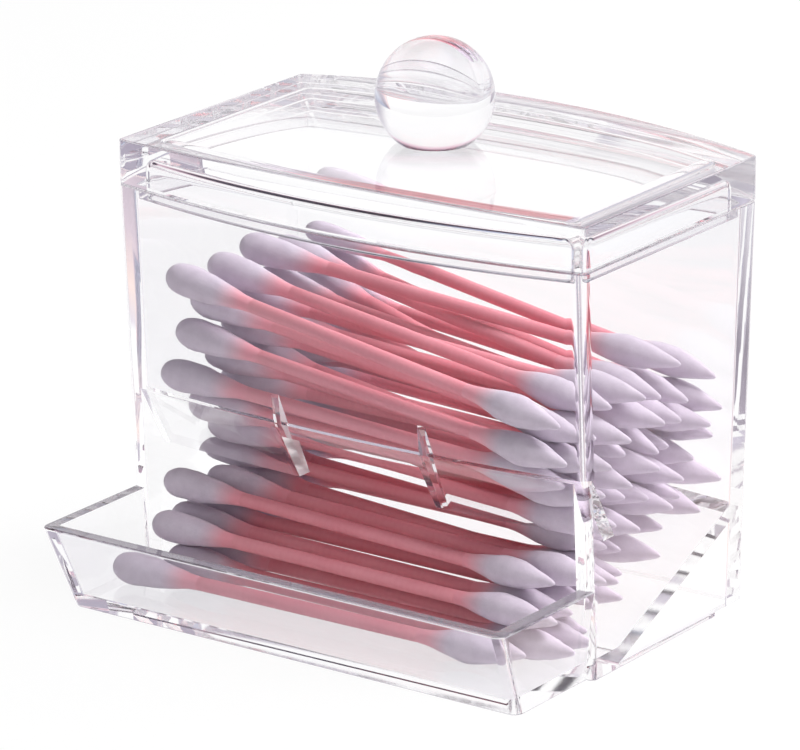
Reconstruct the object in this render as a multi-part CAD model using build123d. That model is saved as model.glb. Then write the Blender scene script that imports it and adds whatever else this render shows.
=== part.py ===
from build123d import *

import math
import os

import numpy as np

# Clear cotton swab dispenser: a box moulded in one piece with its open tray, a lift-off lid with a ball knob, and swabs.
# Millimetres, +Z up, front at -Y. Working origin: the middle of the box plan, on the table.

# Swab
swab_length = 75.0
stick_diameter = 2.5
head_diameter = 5.3
tip_diameter = 5.1
swab_sides = 10
round_end_share = 0.55
round_shoulder = 1.3
head_length = 9.0
head_neck = 5.5
tip_length = 9.5
tip_neck = 6.5
point_diameter = 0.9

# Box: as wide inside as a swab is long, with room beyond its ends
end_room = 3.4
box_depth_base = 42.0
box_depth_top = 47.6
box_height = 64.8
bow = 5.0
wall = 2.6
corner_chamfer = 0.8
box_width = swab_length + 2 * (wall + end_room)

# Front panel: it leans in with the box down to the bend, then turns inward and stops above the tray
bend_height = 31.5
bend_angle = 30.0
bend_length = 12.0

# Finger notch in the bent part, with a kite-shaped cheek at each side
notch_width = 26.0
cheek_thickness = 1.4
cheek_rise = 6.0
cheek_depth = 6.6

# Floor: level in the tray, then a ramp up to the back wall, hollow beneath
floor_thickness = 2.8
floor_edge_inset = 1.9
ramp_start = -12.5
ramp_back_height = 15.2
heel_relief_length = 8.0
heel_relief_height = 0.8

# Tray
tray_height = 14.6
tray_rim_reach = 24.6
tray_base_reach = 18.3
tray_base_inset = 1.3
tray_wall = 2.2
tray_corner_chamfer = 1.1
tray_rim_chamfer = 0.4

# Lid
lid_height = 7.2
lid_plate = 3.0
lid_wall = 4.3
lid_lip_depth = 2.3
lid_lip_clearance = 0.35
lid_crown = 1.2
lid_cavity_radius = 2.0
lid_cavity_chamfer = 1.2
lid_corner_radius = 1.0
lid_edge_chamfer = 0.4

# Knob
knob_diameter = 18.6
knob_foot_diameter = 11.6
knob_seat_diameter = 12.7
knob_seat_depth = 0.3
ball_band_count = 10

# Filling of the box
tray_swab_count = 9
box_swab_count = 49
head_room = 12.8
sample_count = 76
surface_step = 0.25
try_count = 200
side_play = 0.05
end_play = 3.0
swab_gap = 0.08
tray_yaw_share = 0.15
box_yaw_share = 1.0
tray_back_share = 0.8
steepest_share = 0.5
halving_count = 20
golden = (math.sqrt(5) - 1) / 2
silver = math.sqrt(2) - 1
bronze = math.sqrt(3) - 1


def plan_face(width, depth, swell, height):
    """Plan outline with straight ends, and a front and back that bow outward by swell."""
    x = width / 2
    y = depth / 2
    if swell > 0:
        front = ThreePointArc((-x, -y), (0, -y - swell), (x, -y))
        back = ThreePointArc((x, y), (0, y + swell), (-x, y))
    else:
        front = Line((-x, -y), (x, -y))
        back = Line((x, y), (-x, y))
    right = Line((x, -y), (x, y))
    left = Line((-x, y), (-x, -y))
    return Pos(0, 0, height) * make_face(front + right + back + left)


def depth_at(height):
    return box_depth_base + (box_depth_top - box_depth_base) * height / box_height


def bow_at(height):
    return bow * height / box_height


def box_section(inset, height):
    """Plan of the box at a height, drawn in by inset on every side."""
    return plan_face(box_width - 2 * inset, depth_at(height) - 2 * inset, bow_at(height), height)


def box_block(inset):
    """Solid of the box form from the table to the rim, drawn in by inset on every side."""
    return loft([box_section(inset, height) for height in (0, bend_height, box_height)], ruled=True)


def side_profile(points, half_width):
    """Solid from a closed outline in the YZ plane, drawn out to both sides of the middle."""
    outline = Plane.YZ * make_face(Polyline(*points, close=True))
    return extrude(outline, amount=half_width, both=True)


def ramp_points():
    """Both ends of the ramp's top line, the front one first."""
    return (ramp_start, floor_thickness), (depth_at(ramp_back_height) / 2, floor_thickness + ramp_back_height)


def make_floor(tray_front):
    """Tray floor and ramp as one slab, hollow under the ramp."""
    start, back = ramp_points()
    inner_half = box_width / 2 - floor_edge_inset
    points = [
        (tray_front, 0),
        (tray_front, floor_thickness),
        start,
        back,
        (back[0], back[1] - floor_thickness),
        (ramp_start, 0),
    ]
    return side_profile(points, inner_half)


def bend_points():
    """Section of the bent lower part of the front panel, outer line first."""
    angle = math.radians(bend_angle)
    outer = -depth_at(bend_height) / 2
    inner = outer + wall
    low = bend_height - bend_length * math.cos(angle)
    step = bend_length * math.sin(angle)
    return [
        (outer, bend_height),
        (outer + step, low),
        (inner + step, low),
        (inner, bend_height),
    ]


def cheek_points():
    """Kite-shaped section of a notch cheek: it stands behind the bend and closes at both ends."""
    outer, low_outer, low_inner, inner = bend_points()
    return [
        (inner[0] - wall / 2, bend_height + cheek_rise),
        outer,
        low_outer,
        low_inner,
        (outer[0] + cheek_depth, bend_height - cheek_rise),
    ]


def bend_block(inset):
    """Solid under the bend, drawn in by inset: its front follows the bent panel."""
    low_outer, low = bend_points()[1]
    lower = plan_face(box_width - 2 * inset, -2 * (low_outer + inset), bow_at(bend_height), low)
    return loft([lower, box_section(inset, bend_height)], ruled=True)


def make_front_bend():
    """Bent part of the front panel with its finger notch and two cheeks."""
    low = bend_points()[1][1]
    front_half = Pos(0, -box_depth_base / 2, (low + bend_height) / 2)
    front_half *= Box(box_width - wall, box_depth_base, bend_height - low)
    plate = (bend_block(0) - bend_block(wall)) & front_half
    notch_height = bend_height - low - wall
    notch = Pos(0, -box_depth_base / 2, low + notch_height / 2)
    plate -= notch * Box(notch_width, box_depth_base, notch_height)
    cheek = side_profile(cheek_points(), cheek_thickness / 2)
    cheek_x = (notch_width + cheek_thickness) / 2
    swell = bow_at(bend_height) * (1 - (cheek_x / (box_width / 2)) ** 2)
    for side in (-1, 1):
        plate += Pos(side * cheek_x, -swell, 0) * cheek
    return plate


def tray_block(inset):
    """Solid of the tray form, with its front and sides leaning outward."""
    sections = []
    for height in (0, tray_height):
        share = height / tray_height
        reach = tray_base_reach + (tray_rim_reach - tray_base_reach) * share
        half = box_width / 2 - tray_base_inset * (1 - share) - inset
        front = -box_depth_base / 2 - reach + inset
        back = -box_depth_base / 2 + wall
        corners = Polyline((-half, back), (-half, front), (half, front), (half, back), close=True)
        sections.append(Pos(0, 0, height) * make_face(corners))
    block = loft(sections, ruled=True)
    uprights = [
        edge
        for edge in block.edges()
        if edge.center().Y < -box_depth_base / 2 and abs((edge @ 1).Z - (edge @ 0).Z) > tray_height / 2
    ]
    return chamfer(uprights, tray_corner_chamfer - inset / 4)


def make_body():
    """Box, front panel, ramp floor and tray, moulded as one piece."""
    shell = box_block(0)
    uprights = [edge for edge in shell.edges() if abs((edge @ 1).Z - (edge @ 0).Z) > wall]
    shell = chamfer(uprights, corner_chamfer) - box_block(wall)
    doorway = Pos(0, -box_depth_base / 2, bend_height / 2)
    shell -= doorway * Box(box_width - 2 * wall, box_depth_base, bend_height)
    tray_front = -box_depth_base / 2 - tray_base_reach + tray_wall / 2
    tray = tray_block(0) - tray_block(tray_wall)
    rim = [edge for edge in tray.faces().sort_by(Axis.Z)[-1].edges() if edge.center().Y < tray_front + wall]
    tray = chamfer(rim, tray_rim_chamfer)
    body = shell + tray + make_floor(tray_front) + make_front_bend()
    heel = Pos(0, depth_at(0) / 2, 0) * Box(box_width * 2, heel_relief_length * 2, heel_relief_height * 2)
    return body - heel


def make_lid():
    """Lid: crowned plate, skirt that sits on the box rim, and a lip that drops inside it."""
    base = box_height
    top = base + lid_height
    outer = extrude(plan_face(box_width, box_depth_top, bow, base), amount=lid_height + lid_crown)
    uprights = outer.edges().filter_by(Axis.Z)
    outer = fillet(uprights, lid_corner_radius)
    half = box_width / 2
    crown_radius = (half * half + lid_crown * lid_crown) / (2 * lid_crown)
    crown = Pos(0, 0, top + lid_crown - crown_radius) * Rot(90, 0, 0) * Cylinder(crown_radius, box_width)
    outer &= crown
    outer = chamfer(outer.faces().sort_by(Axis.Z)[-1].edges(), lid_edge_chamfer)
    lip_inset = wall + lid_lip_clearance
    lip_plan = plan_face(
        box_width - 2 * lip_inset, box_depth_top - 2 * lip_inset, bow, base - lid_lip_depth
    )
    lip = extrude(lip_plan, amount=lid_lip_depth)
    cavity_plan = plan_face(
        box_width - 2 * lid_wall, box_depth_top - 2 * lid_wall, bow, base - lid_lip_depth
    )
    cavity = extrude(cavity_plan, amount=lid_height + lid_lip_depth - lid_plate)
    cavity = fillet(cavity.edges().filter_by(Axis.Z), lid_cavity_radius)
    cavity = chamfer(cavity.faces().sort_by(Axis.Z)[-1].edges(), lid_cavity_chamfer)
    seat = Pos(0, 0, top + lid_crown) * Cylinder(knob_seat_diameter / 2, knob_seat_depth * 2)
    return outer + lip - cavity - seat


def make_knob():
    """Solid ball, turned in narrow bands, with a flat foot that stands in the seat of the lid."""
    radius = knob_diameter / 2
    foot_angle = math.asin(knob_foot_diameter / knob_diameter)
    seat_height = box_height + lid_height + lid_crown - knob_seat_depth
    centre = seat_height + radius * math.cos(foot_angle)
    outline = [(0, seat_height)]
    for band in range(ball_band_count + 1):
        angle = foot_angle + (math.pi - foot_angle) * band / ball_band_count
        outline.append((radius * math.sin(angle), centre - radius * math.cos(angle)))
    half = make_face(Polyline(*outline[:-1], (0, centre + radius), close=True))
    return revolve(Plane.XZ * half, Axis.Z)


def swab_rings():
    """Places along a swab and the radius at each, from the round head to the pointed tip."""
    return [
        (0, head_diameter / 2 * round_end_share),
        (round_shoulder, head_diameter / 2),
        (head_length, head_diameter / 2),
        (head_length + head_neck, stick_diameter / 2),
        (swab_length - tip_length - tip_neck, stick_diameter / 2),
        (swab_length - tip_length, tip_diameter / 2),
        (swab_length, point_diameter / 2),
    ]


def make_swab():
    """One swab along +X from its round end, as a flat-faced solid."""
    rings = []
    for place, radius in swab_rings():
        turn = 2 * math.pi / swab_sides
        ring = [
            Vector(place, radius * math.cos(turn * k), radius * math.sin(turn * k))
            for k in range(swab_sides)
        ]
        rings.append(ring)
    faces = [Face(Wire.make_polygon(rings[0])), Face(Wire.make_polygon(rings[-1]))]
    for near, far in zip(rings, rings[1:]):
        for k in range(swab_sides):
            after = (k + 1) % swab_sides
            faces.append(Face(Wire.make_polygon([near[k], near[after], far[after], far[k]])))
    return Solid(Shell(faces))


def spread(index, turn):
    """Evenly scattered share between 0 and 1 for each index."""
    return index * turn % 1


def slope_points(corners):
    """Points at even steps along a line of corners in the YZ plane."""
    points = []
    for (y0, z0), (y1, z1) in zip(corners, corners[1:]):
        count = max(1, round(math.hypot(y1 - y0, z1 - z0) / surface_step))
        points += [(y0 + (y1 - y0) * k / count, z0 + (z1 - z0) * k / count) for k in range(count + 1)]
    return points


def ground_points():
    """What a swab can land on, seen from the side: tray front, floor, ramp and back wall."""
    start, back = ramp_points()
    tray_foot = -box_depth_base / 2 - tray_base_reach + tray_wall
    tray_rim = -box_depth_base / 2 - tray_rim_reach + tray_wall
    wall_top = depth_at(box_height) / 2 - wall
    wall_foot = depth_at(back[1]) / 2 - wall
    corners = [
        (tray_rim, tray_height),
        (tray_foot, floor_thickness),
        start,
        (wall_foot, back[1]),
        (wall_top, box_height),
    ]
    return slope_points(corners)


def panel_points():
    """Inner side of the bent front panel and its cheeks, down to the panel's lower edge."""
    low_inner, inner = bend_points()[2:]
    top = (wall - depth_at(box_height) / 2, box_height)
    return slope_points([top, inner, cheek_points()[-1], low_inner])


class Swab:
    """A lying swab: both ends of its axis, and its radius along the way."""

    places = np.array([place for place, radius in swab_rings()])
    radii = np.array([radius for place, radius in swab_rings()])
    samples = np.linspace(0, swab_length, sample_count)

    def __init__(self, shift, near_y, far_y):
        across = far_y - near_y
        reach = math.sqrt(swab_length * swab_length - across * across)
        self.start = np.array([shift - reach / 2, near_y, 0])
        self.finish = np.array([shift + reach / 2, far_y, 0])

    def axis(self):
        share = (self.samples / swab_length)[:, None]
        return self.start + (self.finish - self.start) * share

    def radius(self, share):
        return np.interp(share * swab_length, self.places, self.radii)

    def height_over(self, ground):
        """Axis height at each sample that clears the ground."""
        y = self.axis()[:, 1][:, None]
        radius = self.radius(self.samples / swab_length)[:, None] + swab_gap
        room = radius * radius - (ground[:, 0] - y) ** 2
        return np.where(room > 0, ground[:, 1] + np.sqrt(np.maximum(room, 0)), 0).max(axis=1)

    def height_over_pile(self, starts, lines):
        """Axis height at each sample that clears every swab lying there."""
        plan = lines[:, None, :2]
        axis = self.axis()[None, :, :2] - starts[:, None, :2]
        share = np.clip((axis * plan).sum(axis=2) / (plan * plan).sum(axis=2), 0, 1)
        off = axis - plan * share[:, :, None]
        reach = self.radius(self.samples / swab_length) + self.radius(share) + swab_gap
        room = reach * reach - (off * off).sum(axis=2)
        height = starts[:, None, 2] + lines[:, None, 2] * share
        return np.where(room > 0, height + np.sqrt(np.maximum(room, 0)), 0).max(axis=0)

    def drop(self, ground, pile):
        """Let the swab down until it rests on two points, one on each side of its middle."""
        needed = self.height_over(ground)
        if pile:
            needed = np.maximum(needed, self.height_over_pile(*pile))
        offset = self.samples - swab_length / 2
        left = offset < 0
        low, high = -steepest_share, steepest_share
        for _ in range(halving_count):
            slope = (low + high) / 2
            level = needed - slope * offset
            if level[~left].max() > level[left].max():
                low = slope
            else:
                high = slope
        middle = (needed - slope * offset).max()
        self.start[2] = middle - slope * swab_length / 2
        self.finish[2] = middle + slope * swab_length / 2
        return middle


def fill(lying, ground, count, front, back, ceiling, twist_share, back_share):
    """Add swabs one by one, each at the lowest of several places between front and back."""
    turn = len(lying) * try_count
    for _ in range(count):
        pile = ()
        if lying:
            starts = np.array([swab.start for swab in lying])
            pile = (starts, np.array([swab.finish for swab in lying]) - starts)
        best = None
        for _ in range(try_count):
            turn += 1
            near_share = spread(turn, golden)
            far_share = near_share + (spread(turn, silver) - near_share) * twist_share
            shift = (spread(turn, bronze) * 2 - 1) * end_play
            swab = Swab(shift, front + (back - front) * near_share, front + (back - front) * far_share)
            middle = swab.drop(ground, pile)
            if max(swab.start[2], swab.finish[2]) > ceiling:
                continue
            cost = middle - back_share * (swab.start[1] + swab.finish[1]) / 2
            if best is None or cost < best[0]:
                best = (cost, swab)
        if best is None:
            return
        lying.append(best[1])


def lay_swabs():
    """Fill the tray mouth first, then the box behind the front panel."""
    lying = []
    floor = np.array(ground_points())
    low_outer, low_inner = bend_points()[1:3]
    radius = head_diameter / 2 + side_play
    tray_front = -box_depth_base / 2 - tray_base_reach + tray_wall + radius
    ceiling = low_outer[1] - radius
    fill(lying, floor, tray_swab_count, tray_front, low_inner[0], ceiling, tray_yaw_share, tray_back_share)
    walled = np.vstack([floor, panel_points()])
    front = wall - depth_at(box_height) / 2 + radius
    pile_top = box_height - head_room
    back = depth_at(pile_top) / 2 - wall - point_diameter
    fill(lying, walled, box_swab_count, front, back, pile_top, box_yaw_share, 0)
    return lying


def place_swab(swab, lying):
    """Move a swab from the X axis to where it lies."""
    line = lying.finish - lying.start
    yaw = math.degrees(math.atan2(line[1], line[0]))
    pitch = math.degrees(math.atan2(line[2], math.hypot(line[0], line[1])))
    return Pos(*lying.start) * Rot(0, 0, yaw) * Rot(0, -pitch, 0) * swab


os.makedirs("parts", exist_ok=True)
pieces = {"body": make_body(), "lid": make_lid(), "ball_knob": make_knob()}
swab = make_swab()
for number, lying in enumerate(lay_swabs(), 1):
    pieces[f"swab_{number:02d}"] = place_swab(swab, lying)
front_edge = pieces["body"].bounding_box().min.Y
back_edge = pieces["lid"].bounding_box().max.Y
centre_shift = -(front_edge + back_edge) / 2
for name, piece in pieces.items():
    export_step(Pos(0, centre_shift, 0) * piece, f"parts/{name}.step")
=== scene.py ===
"""Cotton swab dispenser: clear moulded box with a lift-off lid, filled with pink swabs."""
import math

import bmesh
import bpy
from mathutils import Matrix, Vector


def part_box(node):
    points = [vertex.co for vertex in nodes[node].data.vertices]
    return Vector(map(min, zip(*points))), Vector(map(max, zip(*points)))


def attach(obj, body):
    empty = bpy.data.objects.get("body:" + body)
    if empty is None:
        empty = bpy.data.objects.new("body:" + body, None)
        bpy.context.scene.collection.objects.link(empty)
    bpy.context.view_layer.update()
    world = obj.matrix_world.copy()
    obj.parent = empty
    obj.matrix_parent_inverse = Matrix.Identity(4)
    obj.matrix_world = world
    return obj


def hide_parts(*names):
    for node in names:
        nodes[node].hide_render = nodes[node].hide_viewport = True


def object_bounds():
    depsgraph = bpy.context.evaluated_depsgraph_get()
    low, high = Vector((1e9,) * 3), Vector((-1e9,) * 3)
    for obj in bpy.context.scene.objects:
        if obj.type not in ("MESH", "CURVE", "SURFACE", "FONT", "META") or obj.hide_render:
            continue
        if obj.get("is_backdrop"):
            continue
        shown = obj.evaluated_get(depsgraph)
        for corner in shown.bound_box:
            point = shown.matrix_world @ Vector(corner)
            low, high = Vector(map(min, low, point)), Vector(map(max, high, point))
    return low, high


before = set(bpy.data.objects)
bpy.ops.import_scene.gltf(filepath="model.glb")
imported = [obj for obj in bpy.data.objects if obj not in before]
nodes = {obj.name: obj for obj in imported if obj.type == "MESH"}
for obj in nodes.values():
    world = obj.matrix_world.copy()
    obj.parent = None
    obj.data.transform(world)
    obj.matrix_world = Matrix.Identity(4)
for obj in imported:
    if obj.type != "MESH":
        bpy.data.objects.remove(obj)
cad_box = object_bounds()


# Shader nodes written as expressions

class Socket:
    """A node's output, with the arithmetic of plain numbers."""

    def __init__(self, shader, output):
        self.shader = shader
        self.output = output

    def _math(self, operation, *values):
        return self.shader.node("Math", {"operation": operation}, *values)[0]

    def __add__(self, other):
        return self._math("ADD", self, other)

    def __sub__(self, other):
        return self._math("SUBTRACT", self, other)

    def __rsub__(self, other):
        return self._math("SUBTRACT", other, self)

    def __mul__(self, other):
        return self._math("MULTIPLY", self, other)

    def at_least(self, other):
        return self._math("MAXIMUM", self, other)

    def at_most(self, other):
        return self._math("MINIMUM", self, other)


class Finish:
    """A material, or the world's light, under construction."""

    def __init__(self, name, kind="materials"):
        self.material = getattr(bpy.data, kind).new(name)
        self.material.use_nodes = True
        self.tree = self.material.node_tree
        self.tree.nodes.clear()

    def node(self, kind, settings=None, *values, **named):
        """Add a node: settings first, then its inputs by order or by name."""
        made = self.tree.nodes.new(f"ShaderNode{kind}")
        for key, value in (settings or {}).items():
            if key == "stops":
                ramp = made.color_ramp.elements
                while len(ramp) < len(value):
                    ramp.new(0.5)
                for stop, (place, colour) in zip(ramp, value):
                    stop.position = place
                    stop.color = (*colour, 1)
            else:
                setattr(made, key, value)
        inputs = list(enumerate(values)) + [(key.replace("_", " "), value) for key, value in named.items()]
        for key, value in inputs:
            if isinstance(value, Socket):
                self.tree.links.new(value.output, made.inputs[key])
            elif value is not None:
                made.inputs[key].default_value = value
        return [Socket(self, output) for output in made.outputs]

    def mix(self, share, low, high, blend="MIX"):
        """Mix two colours."""
        made = self.tree.nodes.new("ShaderNodeMix")
        made.data_type = "RGBA"
        made.blend_type = blend
        made.clamp_factor = True
        for key, value in ((0, share), (6, low), (7, high)):
            if isinstance(value, Socket):
                self.tree.links.new(value.output, made.inputs[key])
            else:
                made.inputs[key].default_value = value if key == 0 else (*value, 1)
        return Socket(self, made.outputs[2])

    def smoothstep(self, value, low, high):
        return self.node("MapRange", {"interpolation_type": "SMOOTHSTEP"}, value, low, high, 0.0, 1.0)[0]

    def noise(self, point, scale, detail, roughness):
        return self.node("TexNoise", None, Vector=point, Scale=scale, Detail=detail, Roughness=roughness)[0]

    def close(self, shader, kind="Material"):
        self.node(f"Output{kind}", None, Surface=shader)
        return self.material


PLASTIC_IOR = 1.5


def clear_moulding(name, tint, roughness, back_tint=None, haze=0.0):
    """Clear polystyrene: smooth faces with a faint flow in them.

    The tint can turn to another one toward the back. On the dark edge and rim finishes this is painted
    shade that lightens toward the back.
    """
    made = Finish(name)
    point = made.node("TexCoord")[3]
    flow = made.noise(point, 45.0, 2.0, 0.4)
    ripple = made.node("Bump", None, Strength=0.02, Distance=0.0004, Height=flow)[0]
    colour = made.mix(flow, tint, tuple(min(1, c * 1.01) for c in tint))
    if back_tint:
        depth = made.node("SeparateXYZ", None, point)[1]
        colour = made.mix(made.smoothstep(depth, 0.0, 0.022), colour, back_tint)
    glass = made.node("BsdfPrincipled", None, Base_Color=colour, Roughness=roughness, IOR=PLASTIC_IOR,
                      Transmission_Weight=1.0 - haze, Normal=ripple)[0]
    light = made.node("LightPath")
    soft_ray = light[1].at_least(light[2])
    through = made.node("BsdfTransparent", None, (0.97, 0.97, 0.97, 1))[0]
    return made.close(made.node("MixShader", None, soft_ray, glass, through)[0])


PINK = (0.68, 0.17, 0.22)
PINK_PALE = (0.87, 0.42, 0.47)
PINK_NECK = (0.79, 0.31, 0.37)


def stick_finish():
    """Rolled paper stick, dyed pink."""
    made = Finish("pink_stick")
    point = made.node("NewGeometry")[0]
    grain = made.noise(point, 1400.0, 4.0, 0.6)
    wide = made.noise(point, 70.0, 2.0, 0.5)
    fold = made.node("TexWave", {"wave_type": "BANDS", "bands_direction": "X"},
                     Vector=made.node("TexCoord")[3], Scale=260.0, Distortion=2.0)[1]
    colour = made.mix(wide * 0.6 + grain * 0.2 + fold * 0.04, PINK, PINK_PALE)
    bump = made.node("Bump", None, Strength=0.3, Distance=0.0001, Height=grain + fold * 0.06)[0]
    shader = made.node("BsdfPrincipled", None, Base_Color=colour, Roughness=grain * 0.2 + 0.45,
                       Normal=bump)[0]
    return made.close(shader)


def cotton_finish():
    """Wound cotton: pale lilac white and matt, thin enough at its neck for the stick to show through."""
    made = Finish("white_cotton")
    along = made.node("SeparateXYZ", None, made.node("TexCoord")[3])[0]
    point = made.node("NewGeometry")[0]
    fibre = made.noise(point, 3000.0, 5.0, 0.7)
    tuft = made.noise(point, 500.0, 3.0, 0.55)
    white = made.mix(tuft * 0.7 + fibre * 0.4, (0.47, 0.39, 0.49), (0.72, 0.64, 0.74))
    neck = made.smoothstep(along, 0.0095, 0.0155) * (1 - made.smoothstep(along, 0.0585, 0.0645))
    colour = made.mix((neck + (tuft - 0.5) * neck * 0.4).at_most(1), white, PINK_NECK)
    bump = made.node("Bump", None, Strength=0.45, Distance=0.0002, Height=fibre * 0.5 + tuft)[0]
    shader = made.node("BsdfPrincipled", None, Base_Color=colour, Roughness=fibre * 0.1 + 0.85,
                       Sheen_Weight=0.2, Sheen_Roughness=0.5, Normal=bump)[0]
    return made.close(shader)


def cloth_floor():
    """Pale cloth that reads as white and keeps its shadow.

    The clear pieces see it with painted shade: a painted shadow under the foot of the front and right
    walls, and darker, tinted painted bands beyond them toward the front and side.
    """
    made = Finish("studio_floor")
    light = made.node("LightPath")
    point = made.node("NewGeometry")[0]
    weave = made.noise(point, 900.0, 2.0, 0.5)
    cloth = made.node("BsdfDiffuse", None, made.mix(weave, (0.78, 0.78, 0.78), (0.84, 0.84, 0.84)))[0]
    x, y = made.node("SeparateXYZ", None, point)[:2]
    # Painted shade, seen only through and off the clear pieces: a shadow painted under the right wall's
    # foot, then darker and tinted bands further out.
    side = made.node("ValToRGB", {"stops": (
        (0.0, (1, 1, 1)), (0.0405, (1, 1, 1)), (0.0425, (0.78, 0.72, 0.80)), (0.060, (0.98, 0.78, 0.72)),
        (0.085, (0.66, 0.54, 0.62)), (0.14, (0.34, 0.29, 0.36)), (0.30, (0.46, 0.50, 0.64)))}, x)[0]
    # Painted shade as well: a shadow painted under the front walls' foot, then darker bands further forward
    # that lighten far off.
    painted_front_shade = made.node("ValToRGB", {"stops": (
        (0.0, (1, 1, 1)), (0.0285, (1, 1, 1)), (0.032, (0.50, 0.45, 0.54)), (0.045, (0.62, 0.58, 0.70)),
        (0.09, (0.34, 0.30, 0.37)), (0.20, (0.24, 0.21, 0.27)), (0.50, (0.75, 0.72, 0.78)))}, 0 - y)[0]
    # Only rays off or through the clear pieces take the painted shade.
    clear_ray = light[3].at_least(light[6])
    glow = 1.08
    plain = (1 / glow, 1 / glow, 1 / glow)
    shown = made.mix(clear_ray, plain, made.mix(1.0, side, painted_front_shade, "MULTIPLY"))
    white = made.node("Emission", None, shown, glow)[0]
    seen = light[0].at_least(clear_ray)
    return made.close(made.node("MixShader", None, seen * 0.9, cloth, white)[0])


# The second and third finishes are tinted dark. This is painted shade for the dark lines along the rounded
# edges and rim faces, lighter toward the back.
MOULDING_FINISHES = (
    clear_moulding("clear_moulding", (0.985, 0.985, 0.99), 0.0),
    clear_moulding("edge_painted_dark", (0.40, 0.38, 0.43), 0.0, (0.80, 0.78, 0.82)),
    clear_moulding("rim_painted_dark", (0.16, 0.14, 0.17), 0.02, (0.62, 0.60, 0.66)),
    clear_moulding("ramp_underside", (0.95, 0.95, 0.96), 0.04),
    clear_moulding("satin_back", (0.97, 0.97, 0.98), 0.2),
    clear_moulding("frosted_cheek", (0.97, 0.97, 0.98), 0.15, haze=0.6))
CLEAR, EDGE_PAINTED_SHADE, RIM_PAINTED_SHADE, UNDERSIDE, SATIN, FROST = range(len(MOULDING_FINISHES))
STICK = stick_finish()
COTTON = cotton_finish()


# Clear mouldings, in millimetres in the maker's frame: the middle of the box plan, on the table

MM = 0.001
SHIFT = sum(corner.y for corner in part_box("lid")) / 2 / MM
BOX_WIDTH, DEPTH_BASE, DEPTH_TOP, BOX_HEIGHT, BOW, WALL = 87.0, 42.0, 47.6, 64.8, 5.0, 2.6
BEND, BEND_ANGLE, BEND_LENGTH = 31.5, math.radians(30), 12.0
NOTCH_HALF, CHEEK_MIDDLE, CHEEK_HALF, CHEEK_RISE, CHEEK_DEPTH = 13, 13.7, 0.7, 6, 6.6
TRAY_HEIGHT, TRAY_WALL, TRAY_REACH, TRAY_LEAN, TRAY_SIDE_LEAN = 14.6, 2.2, 18.3, 6.2, 1.3
FLOOR_TOP, RAMP_START, RAMP_TOP, RAMP_UNDER, FLOOR_INSET = 2.8, -12.5, 18.0, 15.2, 1.9
LID_RISE, LID_PLATE, CROWN, CAVITY_INSET, RIM_GAP = 7.2, 3.0, 1.2, 8.6, 0.04
LIP_DEPTH, LIP_PLAY, LIP_ROOT, SEAT_RADIUS, SEAT_DEPTH = 2.3, 0.35, 1.5, 6.35, 0.3
HEEL_DEPTH, HEEL_RISE = 8, 0.8
BOX_CORNER, INSIDE_CORNER, TRAY_CORNER = 1.2, 0.9, 1.6
LID_CORNER, LIP_CORNER, CAVITY_CORNER = 1.0, 0.6, 2.0
EDGE_ROUND, TRAY_RIM_ROUND = 0.3, 0.4
CUT, FAR, WIDE = 5.0, 60, 90
SHARP = math.radians(13)


def arc_bulge(x, half, swell):
    """How far a bowed side stands out at x."""
    if swell <= 0:
        return 0
    radius = (half * half + swell * swell) / (2 * swell)
    return math.sqrt(radius * radius - x * x) - (radius - swell)


def plan_outline(width, depth, swell, rounding=0.0, count=40):
    """Plan of the box or lid: straight ends, and a front and back that bow outward."""
    half = width / 2
    quarter = []
    reach = half - rounding
    for i in range(count + 1):
        x = reach * i / count
        quarter.append((x, depth / 2 + arc_bulge(x, half, swell)))
    if rounding:
        corner = quarter[-1][1] - rounding
        for i in range(1, 9):
            turn = math.radians(11.25 * i)
            quarter.append((reach + rounding * math.sin(turn), corner + rounding * math.cos(turn)))
    back_right = quarter
    front_right = [(x, -y) for x, y in reversed(quarter)]
    front_left = [(-x, -y) for x, y in quarter[1:]]
    back_left = [(-x, y) for x, y in reversed(quarter[1:])]
    return back_right + front_right + front_left + back_left


def solid(name, rings):
    """Closed solid through rings of points, capped at both ends."""
    mesh = bmesh.new()
    loops = [[mesh.verts.new((x * MM, y * MM, z * MM)) for x, y, z in ring] for ring in rings]
    for low, high in zip(loops, loops[1:]):
        for i, vertex in enumerate(low):
            j = (i + 1) % len(low)
            mesh.faces.new((vertex, low[j], high[j], high[i]))
    mesh.faces.new(list(reversed(loops[0])))
    mesh.faces.new(loops[-1])
    bmesh.ops.recalc_face_normals(mesh, faces=mesh.faces)
    data = bpy.data.meshes.new(name)
    mesh.to_mesh(data)
    mesh.free()
    piece = bpy.data.objects.new(name, data)
    bpy.context.scene.collection.objects.link(piece)
    return piece


def stack(name, sections):
    """Solid through plan outlines at their heights."""
    return solid(name, [[(x, y, z) for x, y in outline] for z, outline in sections])


def slab(name, outline, low, high):
    """Solid from a side outline in Y and Z, between two places in X."""
    return solid(name, [[(x, y, z) for y, z in outline] for x in (low, high)])


def block(name, x, y, z):
    """Plain cutter between pairs of places."""
    corners = [(x[0], y[0]), (x[1], y[0]), (x[1], y[1]), (x[0], y[1])]
    return stack(name, [(z[0], corners), (z[1], corners)])


def rounded(piece, radius, chosen, segments=8):
    """Round the chosen edges of a solid."""
    mesh = bmesh.new()
    mesh.from_mesh(piece.data)
    edges = [edge for edge in mesh.edges if chosen(edge)]
    bmesh.ops.bevel(mesh, geom=edges, offset=radius * MM, segments=segments, profile=0.5, affect="EDGES")
    mesh.to_mesh(piece.data)
    mesh.free()
    return piece


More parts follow.
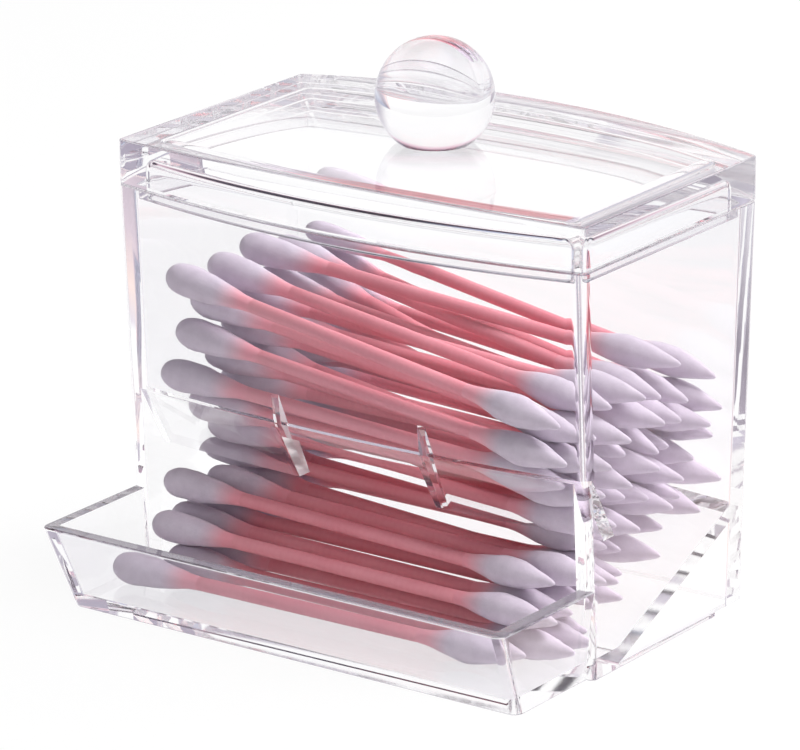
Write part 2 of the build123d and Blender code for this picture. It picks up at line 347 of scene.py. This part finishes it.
def joined(piece, tool, operation):
    """Add, cut or keep what a second solid shares, and drop that solid."""
    step = piece.modifiers.new(operation, "BOOLEAN")
    step.operation = operation
    step.solver = "EXACT"
    step.object = tool
    bpy.context.view_layer.update()
    shaped = bpy.data.meshes.new_from_object(piece.evaluated_get(bpy.context.evaluated_depsgraph_get()))
    piece.modifiers.clear()
    piece.data = shaped
    bpy.data.objects.remove(tool)
    return piece


def add(piece, *tools):
    for tool in tools:
        joined(piece, tool, "UNION")
    return piece


def cut(piece, *tools):
    for tool in tools:
        joined(piece, tool, "DIFFERENCE")
    return piece


def depth_at(height):
    return DEPTH_BASE + (DEPTH_TOP - DEPTH_BASE) * height / BOX_HEIGHT


def bow_at(height):
    return BOW * height / BOX_HEIGHT


def box_form(name, inset, low, high, rounding):
    """The box between two heights, drawn in by inset."""
    width = BOX_WIDTH - 2 * inset
    return stack(name, [(z, plan_outline(width, depth_at(z) - 2 * inset, bow_at(z), rounding))
                        for z in (low, high)])


def bend_form(name, inset, overrun):
    """What lies behind the bent part of the front panel, drawn in by inset."""
    low = BEND - (BEND_LENGTH + overrun) * math.cos(BEND_ANGLE)
    front = depth_at(BEND) / 2 - (BEND_LENGTH + overrun) * math.sin(BEND_ANGLE)
    half = BOX_WIDTH - 2 * inset
    lower = plan_outline(half, 2 * (front - inset), bow_at(BEND))
    upper = plan_outline(half, depth_at(BEND) - 2 * inset, bow_at(BEND))
    return stack(name, [(low, lower), (BEND, upper)])


def tray_form(name, inset, low, high):
    """The tray between two heights, leaning outward at the front and sides."""
    sections = []
    for z in (low, high):
        share = z / TRAY_HEIGHT
        half = BOX_WIDTH / 2 - TRAY_SIDE_LEAN * (1 - share) - inset
        front = -DEPTH_BASE / 2 - TRAY_REACH - TRAY_LEAN * share + inset
        back = -DEPTH_BASE / 2 + WALL + (CUT if inset else 0)
        sections.append((z, [(-half, front), (half, front), (half, back), (-half, back)]))
    piece = stack(name, sections)
    limit = (-DEPTH_BASE / 2 - 10) * MM
    rounded(piece, TRAY_CORNER - inset / 2, lambda edge: (
        all(v.co.y < limit for v in edge.verts) and abs(edge.verts[0].co.z - edge.verts[1].co.z) > 0.005))
    if not inset:
        rim = (high - 0.1) * MM
        rounded(piece, TRAY_RIM_ROUND, lambda edge: (
            all(v.co.z > rim for v in edge.verts) and any(v.co.y < limit for v in edge.verts)), 3)
    return piece


def moulded_box():
    """Box, bent front panel, ramp floor and tray in one clear moulding."""
    box = box_form("moulded_box", 0, 0, BOX_HEIGHT, BOX_CORNER)
    cut(box, box_form("inside", WALL, -CUT, BOX_HEIGHT + CUT, INSIDE_CORNER))
    inside = BOX_WIDTH / 2 - WALL
    cut(box, block("doorway", (-inside, inside), (-CUT - DEPTH_BASE, 0), (-CUT, BEND)))
    tray = tray_form("tray", 0, 0, TRAY_HEIGHT)
    cut(tray, tray_form("tray_inside", TRAY_WALL, -1.0, TRAY_HEIGHT + 1.0))
    back = depth_at(RAMP_UNDER) / 2
    front = -DEPTH_BASE / 2 - TRAY_REACH + TRAY_WALL / 2
    profile = [(front, 0), (front, FLOOR_TOP), (RAMP_START, FLOOR_TOP),
               (back, RAMP_TOP), (back, RAMP_UNDER), (RAMP_START, 0)]
    floor = slab("ramp_floor", profile, -BOX_WIDTH / 2 + FLOOR_INSET, BOX_WIDTH / 2 - FLOOR_INSET)
    panel = bend_form("front_bend", 0, 0)
    cut(panel, bend_form("behind_bend", WALL, 3.0))
    outer = -depth_at(BEND) / 2
    low = BEND - BEND_LENGTH * math.cos(BEND_ANGLE)
    step = BEND_LENGTH * math.sin(BEND_ANGLE)
    cut(panel, block("panel_back", (-FAR, FAR), (0, FAR), (0, BEND + CUT)),
        block("panel_left", (-FAR, -BOX_WIDTH / 2 + WALL / 2), (-FAR, FAR), (0, BEND + CUT)),
        block("panel_right", (BOX_WIDTH / 2 - WALL / 2, FAR), (-FAR, FAR), (0, BEND + CUT)),
        block("notch", (-NOTCH_HALF, NOTCH_HALF), (-FAR, 0), (0, BEND - WALL)))
    bulge = arc_bulge(CHEEK_MIDDLE, BOX_WIDTH / 2, bow_at(BEND))
    cheek = [(outer + WALL / 2, BEND + CHEEK_RISE), (outer, BEND), (outer + step, low),
             (outer + step + WALL, low), (outer + CHEEK_DEPTH, BEND - CHEEK_RISE)]
    cheeks = [slab(f"cheek_{side}", [(y - bulge, z) for y, z in cheek],
                   middle - CHEEK_HALF, middle + CHEEK_HALF)
              for side, middle in (("left", -CHEEK_MIDDLE), ("right", CHEEK_MIDDLE))]
    add(box, tray, floor, panel, *cheeks)
    return cut(box, block("heel", (-WIDE, WIDE), (DEPTH_BASE / 2 - HEEL_DEPTH, FAR), (-CUT, HEEL_RISE)))


def moulded_lid():
    """Crowned lid with a skirt on the box rim and a lip inside it."""
    base, top = BOX_HEIGHT + RIM_GAP, BOX_HEIGHT + LID_RISE
    half = BOX_WIDTH / 2
    lower = plan_outline(BOX_WIDTH, DEPTH_TOP, BOW, LID_CORNER)
    lid = solid("moulded_lid", [[(x, y, base) for x, y in lower],
                                [(x, y, top + arc_bulge(x, half, CROWN)) for x, y in lower]])
    inset = WALL + LIP_PLAY
    lip_plan = plan_outline(BOX_WIDTH - 2 * inset, DEPTH_TOP - 2 * inset, BOW, LIP_CORNER)
    lip = stack("lip", [(BOX_HEIGHT - LIP_DEPTH, lip_plan), (base + LIP_ROOT, lip_plan)])
    cavity_plan = plan_outline(BOX_WIDTH - CAVITY_INSET, DEPTH_TOP - CAVITY_INSET, BOW, CAVITY_CORNER)
    ceiling = BOX_HEIGHT + LID_RISE - LID_PLATE
    cavity = stack("cavity", [(BOX_HEIGHT - CUT, cavity_plan), (ceiling, cavity_plan)])
    rounded(cavity, CAVITY_CORNER, lambda edge: all(v.co.z > (ceiling - 0.1) * MM for v in edge.verts))
    turns = [math.radians(5 * i) for i in range(72)]
    ring = [(SEAT_RADIUS * math.cos(turn), SEAT_RADIUS * math.sin(turn)) for turn in turns]
    seat = stack("seat", [(top + CROWN - SEAT_DEPTH, ring), (top + CROWN + CUT, ring)])
    return cut(add(lid, lip), cavity, seat)


def solid_ball():
    """Clear ball with a flat foot, bonded into its seat."""
    radius, foot = 9.3, 5.8
    centre = math.sqrt(radius * radius - foot * foot)
    height = BOX_HEIGHT + LID_RISE + CROWN - SEAT_DEPTH + centre
    start = math.asin(foot / radius)
    bands, sides, pole = 64, 128, 0.004
    rings = []
    for i in range(bands + 1):
        turn = start + (math.pi - pole - start) * i / bands
        rings.append([(radius * math.sin(turn) * math.cos(math.tau * k / sides),
                       radius * math.sin(turn) * math.sin(math.tau * k / sides),
                       height - radius * math.cos(turn))
                      for k in range(sides)])
    return solid("solid_ball", rings)


def spare_points(mesh):
    """Points that lie all but straight between their only two neighbours, no two of them side by side."""
    picked = set()
    for vertex in mesh.verts:
        if len(vertex.link_edges) != 2:
            continue
        start, end = (edge.other_vert(vertex) for edge in vertex.link_edges)
        line = (end.co - start.co).normalized()
        offset = vertex.co - start.co
        straight = (offset - line * offset.dot(line)).length < 0.1 * MM
        if straight and start not in picked and end not in picked:
            picked.add(vertex)
    return [vertex for vertex in mesh.verts if vertex in picked]


def takes_rounding(edge, heights):
    """Tell a sharp outer edge, at the given heights only where any are given."""
    if len(edge.link_faces) != 2 or not edge.is_convex or edge.calc_face_angle() < SHARP:
        return False
    return not heights or any(all(abs(v.co.z / MM - z) < 0.03 for v in edge.verts) for z in heights)


def finish_moulding(piece, node, body, edge_round, heights=()):
    """Soften the edges as a mould does, keep the flat faces flat, and give each face its finish, with
    painted shade on the softened edges and rim faces.
    """
    data = piece.data
    data.materials.clear()
    for finish in MOULDING_FINISHES:
        data.materials.append(finish)
    data.transform(Matrix.Translation((0, SHIFT * MM, 0)))
    weld = 0.00002
    mesh = bmesh.new()
    mesh.from_mesh(data)
    bmesh.ops.remove_doubles(mesh, verts=mesh.verts, dist=weld)
    bmesh.ops.dissolve_degenerate(mesh, dist=weld, edges=mesh.edges)
    bmesh.ops.delete(mesh, geom=[edge for edge in mesh.edges if not edge.link_faces], context="EDGES")
    bmesh.ops.dissolve_verts(mesh, verts=spare_points(mesh))
    weight = mesh.edges.layers.float.new("bevel_weight_edge")
    for edge in mesh.edges:
        edge[weight] = 1.0 if takes_rounding(edge, heights) else 0.0
    mesh.to_mesh(data)
    mesh.free()
    for face in data.polygons:
        face.use_smooth = True
        height = face.center.z / MM
        level = min(abs(height - TRAY_HEIGHT), abs(height - (BOX_HEIGHT - LIP_DEPTH)))
        # Rim faces and the tray's rounded rim take the dark-tinted finishes, which paint shade on them.
        if level < 0.1 and abs(face.normal.z) > 0.95:
            face.material_index = RIM_PAINTED_SHADE
        elif 14.0 < height < TRAY_HEIGHT and 0.05 < face.normal.z < 0.95 and face.center.y < -0.013:
            face.material_index = EDGE_PAINTED_SHADE
        elif -0.98 < face.normal.z < -0.5 and height < 16:
            face.material_index = UNDERSIDE
        elif face.normal.x > 0.95 and abs(face.center.x / MM + NOTCH_HALF) < 0.1 and height > 20:
            face.material_index = FROST
        elif node == "lid" and face.center.y > 0.012 and face.normal.y < -0.5:
            face.material_index = SATIN
    data.set_sharp_from_angle(angle=SHARP)
    if edge_round:
        soft = piece.modifiers.new("rounded_edges", "BEVEL")
        soft.width = edge_round * MM
        soft.segments = 2
        soft.limit_method = "WEIGHT"
        soft.harden_normals = True
        # The rounded edges take a dark-tinted finish: painted shade along each softened edge.
        soft.material = EDGE_PAINTED_SHADE
        soft.miter_outer = "MITER_ARC"
    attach(piece, body)
    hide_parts(node)


finish_moulding(moulded_box(), "body", "box", EDGE_ROUND, (0.0, BOX_HEIGHT))
finish_moulding(moulded_lid(), "lid", "lid", EDGE_ROUND)
finish_moulding(solid_ball(), "ball_knob", "lid", 0)


# Swabs

def lathe(name, profile, sides, finish):
    """A piece turned round the X axis from (place, radius) pairs."""
    mesh = bmesh.new()
    rings = []
    for place, radius in profile:
        if radius == 0:
            rings.append([mesh.verts.new((place, 0, 0))])
            continue
        turn = [2 * math.pi * i / sides for i in range(sides)]
        rings.append([mesh.verts.new((place, radius * math.cos(a), radius * math.sin(a))) for a in turn])
    for first, second in zip(rings, rings[1:]):
        for i in range(sides):
            j = (i + 1) % sides
            if len(first) == 1:
                corners = (first[0], second[j], second[i])
            elif len(second) == 1:
                corners = (first[i], first[j], second[0])
            else:
                corners = (first[i], first[j], second[j], second[i])
            mesh.faces.new(corners)
    bmesh.ops.recalc_face_normals(mesh, faces=mesh.faces)
    data = bpy.data.meshes.new(name)
    mesh.to_mesh(data)
    mesh.free()
    data.materials.append(finish)
    for face in data.polygons:
        face.use_smooth = True
    data.set_sharp_from_angle(angle=math.radians(60))
    return data


ROUND_REACH, POINT_REACH = 0.0031, 0.00095


def swab_line(node):
    """Ends of a swab's axis, round end first, read from the points at both ends of the CAD node.

    The round end's reach also takes in five points of the next ring, so that end lies 0.57 mm to the side
    of the true axis and 0.43 mm along it.
    """
    points = [v.co for v in nodes[node].data.vertices]
    low = min(points, key=lambda p: p.x)
    high = max(points, key=lambda p: p.x)
    first = [p for p in points if (p - low).length < ROUND_REACH]
    last = [p for p in points if (p - high).length < POINT_REACH]
    return sum(first, Vector()) / len(first), sum(last, Vector()) / len(last)


# Profiles in millimetres: place along the swab and radius there
HEAD = [(0, 0), (0.05, 0.35), (0.16, 0.72), (0.40, 1.22), (0.80, 1.72), (1.40, 2.15), (2.20, 2.44),
        (3.20, 2.58), (4.40, 2.62), (5.70, 2.58), (7.00, 2.48), (8.20, 2.34), (9.40, 2.17), (10.5, 1.98),
        (11.5, 1.80), (12.5, 1.63), (13.5, 1.45), (14.5, 1.28), (15.5, 1.17), (16.3, 1.11), (16.3, 0)]
TIP = [(57.5, 0), (57.5, 1.11), (58.5, 1.17), (59.5, 1.29), (60.5, 1.46), (61.5, 1.68), (62.6, 1.92),
       (63.7, 2.17), (64.8, 2.38), (65.8, 2.50), (66.8, 2.53), (67.9, 2.46), (69.0, 2.28), (70.1, 2.01),
       (71.2, 1.68), (72.3, 1.31), (73.2, 0.99), (74.0, 0.70), (74.6, 0.45), (74.9, 0.22), (75.0, 0)]
STICK_PROFILE = [(2.0, 0), (2.0, 0.8), (2.2, 1.10), (69.0, 1.10), (69.2, 0.8), (69.2, 0)]
NECK_RADIUS = 0.00118
COTTON_SIDES, STICK_SIDES = 36, 28
SHAPES = 6


def cotton_end(name, profile, variant):
    """A wound end: the profile, a little slimmer or fuller, with soft lumps from the winding."""
    full = 1 - 0.07 * (variant * 0.618 % 1)
    data = lathe(f"{name}_{variant}", [(x * MM, r * full * MM) for x, r in profile], COTTON_SIDES, COTTON)
    for vertex in data.vertices:
        x, y, z = vertex.co
        around = math.atan2(z, y)
        lump = (0.018 * math.sin(3 * around + variant * 2.1 + x * 900)
                + 0.014 * math.sin(2 * around - x * 1500 + variant))
        if math.hypot(y, z) > NECK_RADIUS:
            vertex.co.y *= 1 - 0.02 + lump
            vertex.co.z *= 1 - 0.02 + lump
    return data


stick_mesh = lathe("stick", [(x * MM, r * MM) for x, r in STICK_PROFILE], STICK_SIDES, STICK)
round_meshes = [cotton_end("round_head", HEAD, k) for k in range(SHAPES)]
tip_meshes = [cotton_end("pointed_tip", TIP, k) for k in range(SHAPES)]

for node in sorted(n for n in nodes if n.startswith("swab_")):
    start, finish = swab_line(node)
    along = (finish - start).normalized()
    turn = Vector((1, 0, 0)).rotation_difference(along).to_matrix().to_4x4()
    place = Matrix.Translation(start) @ turn
    number = node[-2:]
    made = []
    shape = int(number) * 5 % SHAPES
    kinds = (("stick", stick_mesh), ("round_head", round_meshes[shape]), ("pointed_tip", tip_meshes[shape]))
    for kind, mesh in kinds:
        piece = bpy.data.objects.new(f"{kind}_{number}", mesh)
        bpy.context.scene.collection.objects.link(piece)
        piece.matrix_world = place
        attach(piece, "box")
        made.append(piece)
    for piece in made:
        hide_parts(node)


# Studio

def studio_plane(name, size, finish):
    mesh = bmesh.new()
    bmesh.ops.create_grid(mesh, x_segments=1, y_segments=1, size=size)
    data = bpy.data.meshes.new(name)
    mesh.to_mesh(data)
    mesh.free()
    data.materials.append(finish)
    piece = bpy.data.objects.new(name, data)
    bpy.context.scene.collection.objects.link(piece)
    piece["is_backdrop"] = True
    return piece


floor = studio_plane("floor", 3.0, cloth_floor())
floor.location.z = -0.0004


def lamp(name, place, size, power):
    """Soft lamp that faces the middle of the box and can't be seen mirrored in the clear pieces."""
    data = bpy.data.lights.new(name, "AREA")
    data.shape = "RECTANGLE"
    data.size, data.size_y = size
    data.energy = power
    made = bpy.data.objects.new(name, data)
    bpy.context.scene.collection.objects.link(made)
    made.visible_glossy = made.visible_transmission = False
    made.location = place
    made.rotation_euler = (Vector((0, 0, 0.04)) - Vector(place)).to_track_quat("-Z", "Y").to_euler()


lamp("top_softbox", (0.38, 0.22, 0.7), (0.45, 0.35), 8)
lamp("back_softbox", (0.35, 0.8, 0.45), (0.7, 0.4), 6)
lamp("front_fill", (-0.35, -0.8, 0.4), (0.5, 0.5), 1.0)


def studio_world():
    """Even light. Clear pieces also see a white room with a dark ceiling rail and two duller walls."""
    made = Finish("studio_light", "worlds")
    light = made.node("LightPath")
    way = made.node("TexCoord")[0]
    height = made.node("SeparateXYZ", None, way)[2]
    front = made.node("VectorMath", {"operation": "DOT_PRODUCT"}, way, (0.584, -0.812, 0.0))[1]
    right = made.node("VectorMath", {"operation": "DOT_PRODUCT"}, way, (0.812, 0.584, 0.0))[1]
    ceiling = made.node("ValToRGB", {"stops": (
        (0.0, (1, 1, 1)), (0.50, (1, 1, 1)), (0.58, (0.85, 0.62, 0.72)), (0.66, (0.05, 0.04, 0.06)),
        (0.87, (0.03, 0.03, 0.04)), (0.91, (0.5, 0.55, 0.75)), (0.95, (1, 1, 1)))}, height)[0]
    front_wall = made.mix(made.smoothstep(front, 0.55, 0.85), (1, 1, 1), (0.55, 0.50, 0.60))
    side_wall = made.mix(made.smoothstep(right, 0.65, 0.95), (1, 1, 1), (0.42, 0.38, 0.47))
    walls = made.mix(1.0, made.mix(1.0, ceiling, front_wall, "MULTIPLY"), side_wall, "MULTIPLY")
    seen = made.node("Background", None, walls, 1.05)[0]
    plain = made.node("Background", None, (1, 1, 1, 1), 1.0)[0]
    lit = made.node("Background", None, (1, 1, 1, 1), 0.28)[0]
    shown = made.node("MixShader", None, light[3].at_least(light[6]), lit, seen)[0]
    return made.close(made.node("MixShader", None, light[0], shown, plain)[0], "World")


bpy.context.scene.world = studio_world()


# Camera

azimuth = math.radians(35.714)
elevation = math.radians(17.961)
roll = math.radians(-0.439)
level = math.cos(elevation)
back = Vector((math.sin(azimuth) * level, -math.cos(azimuth) * level, math.sin(elevation)))
side = Vector((math.cos(azimuth), math.sin(azimuth), 0))
rise = back.cross(side)
across = side * math.cos(roll) + rise * math.sin(roll)
up = rise * math.cos(roll) - side * math.sin(roll)
aim, distance = Vector((0, -0.00165, 0.038)), 0.8573
eye = aim + back * distance
camera_data = bpy.data.cameras.new("camera")
camera_data.lens = 249.9
camera_data.sensor_width = 36
camera_data.shift_x = 0.001
camera_data.shift_y = -0.0019
camera = bpy.data.objects.new("camera", camera_data)
bpy.context.scene.collection.objects.link(camera)
camera.matrix_world = Matrix((
    (across.x, up.x, back.x, eye.x),
    (across.y, up.y, back.y, eye.y),
    (across.z, up.z, back.z, eye.z),
    (0, 0, 0, 1)))
bpy.context.scene.camera = camera
bpy.context.scene.view_settings.view_transform = "Standard"
light_paths = bpy.context.scene.cycles
light_paths.max_bounces = 96
light_paths.transmission_bounces = 32
light_paths.glossy_bounces = 80
light_paths.diffuse_bounces = 5
light_paths.transparent_max_bounces = 32

boxes = [[list(corner) for corner in box] for box in (cad_box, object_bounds())]
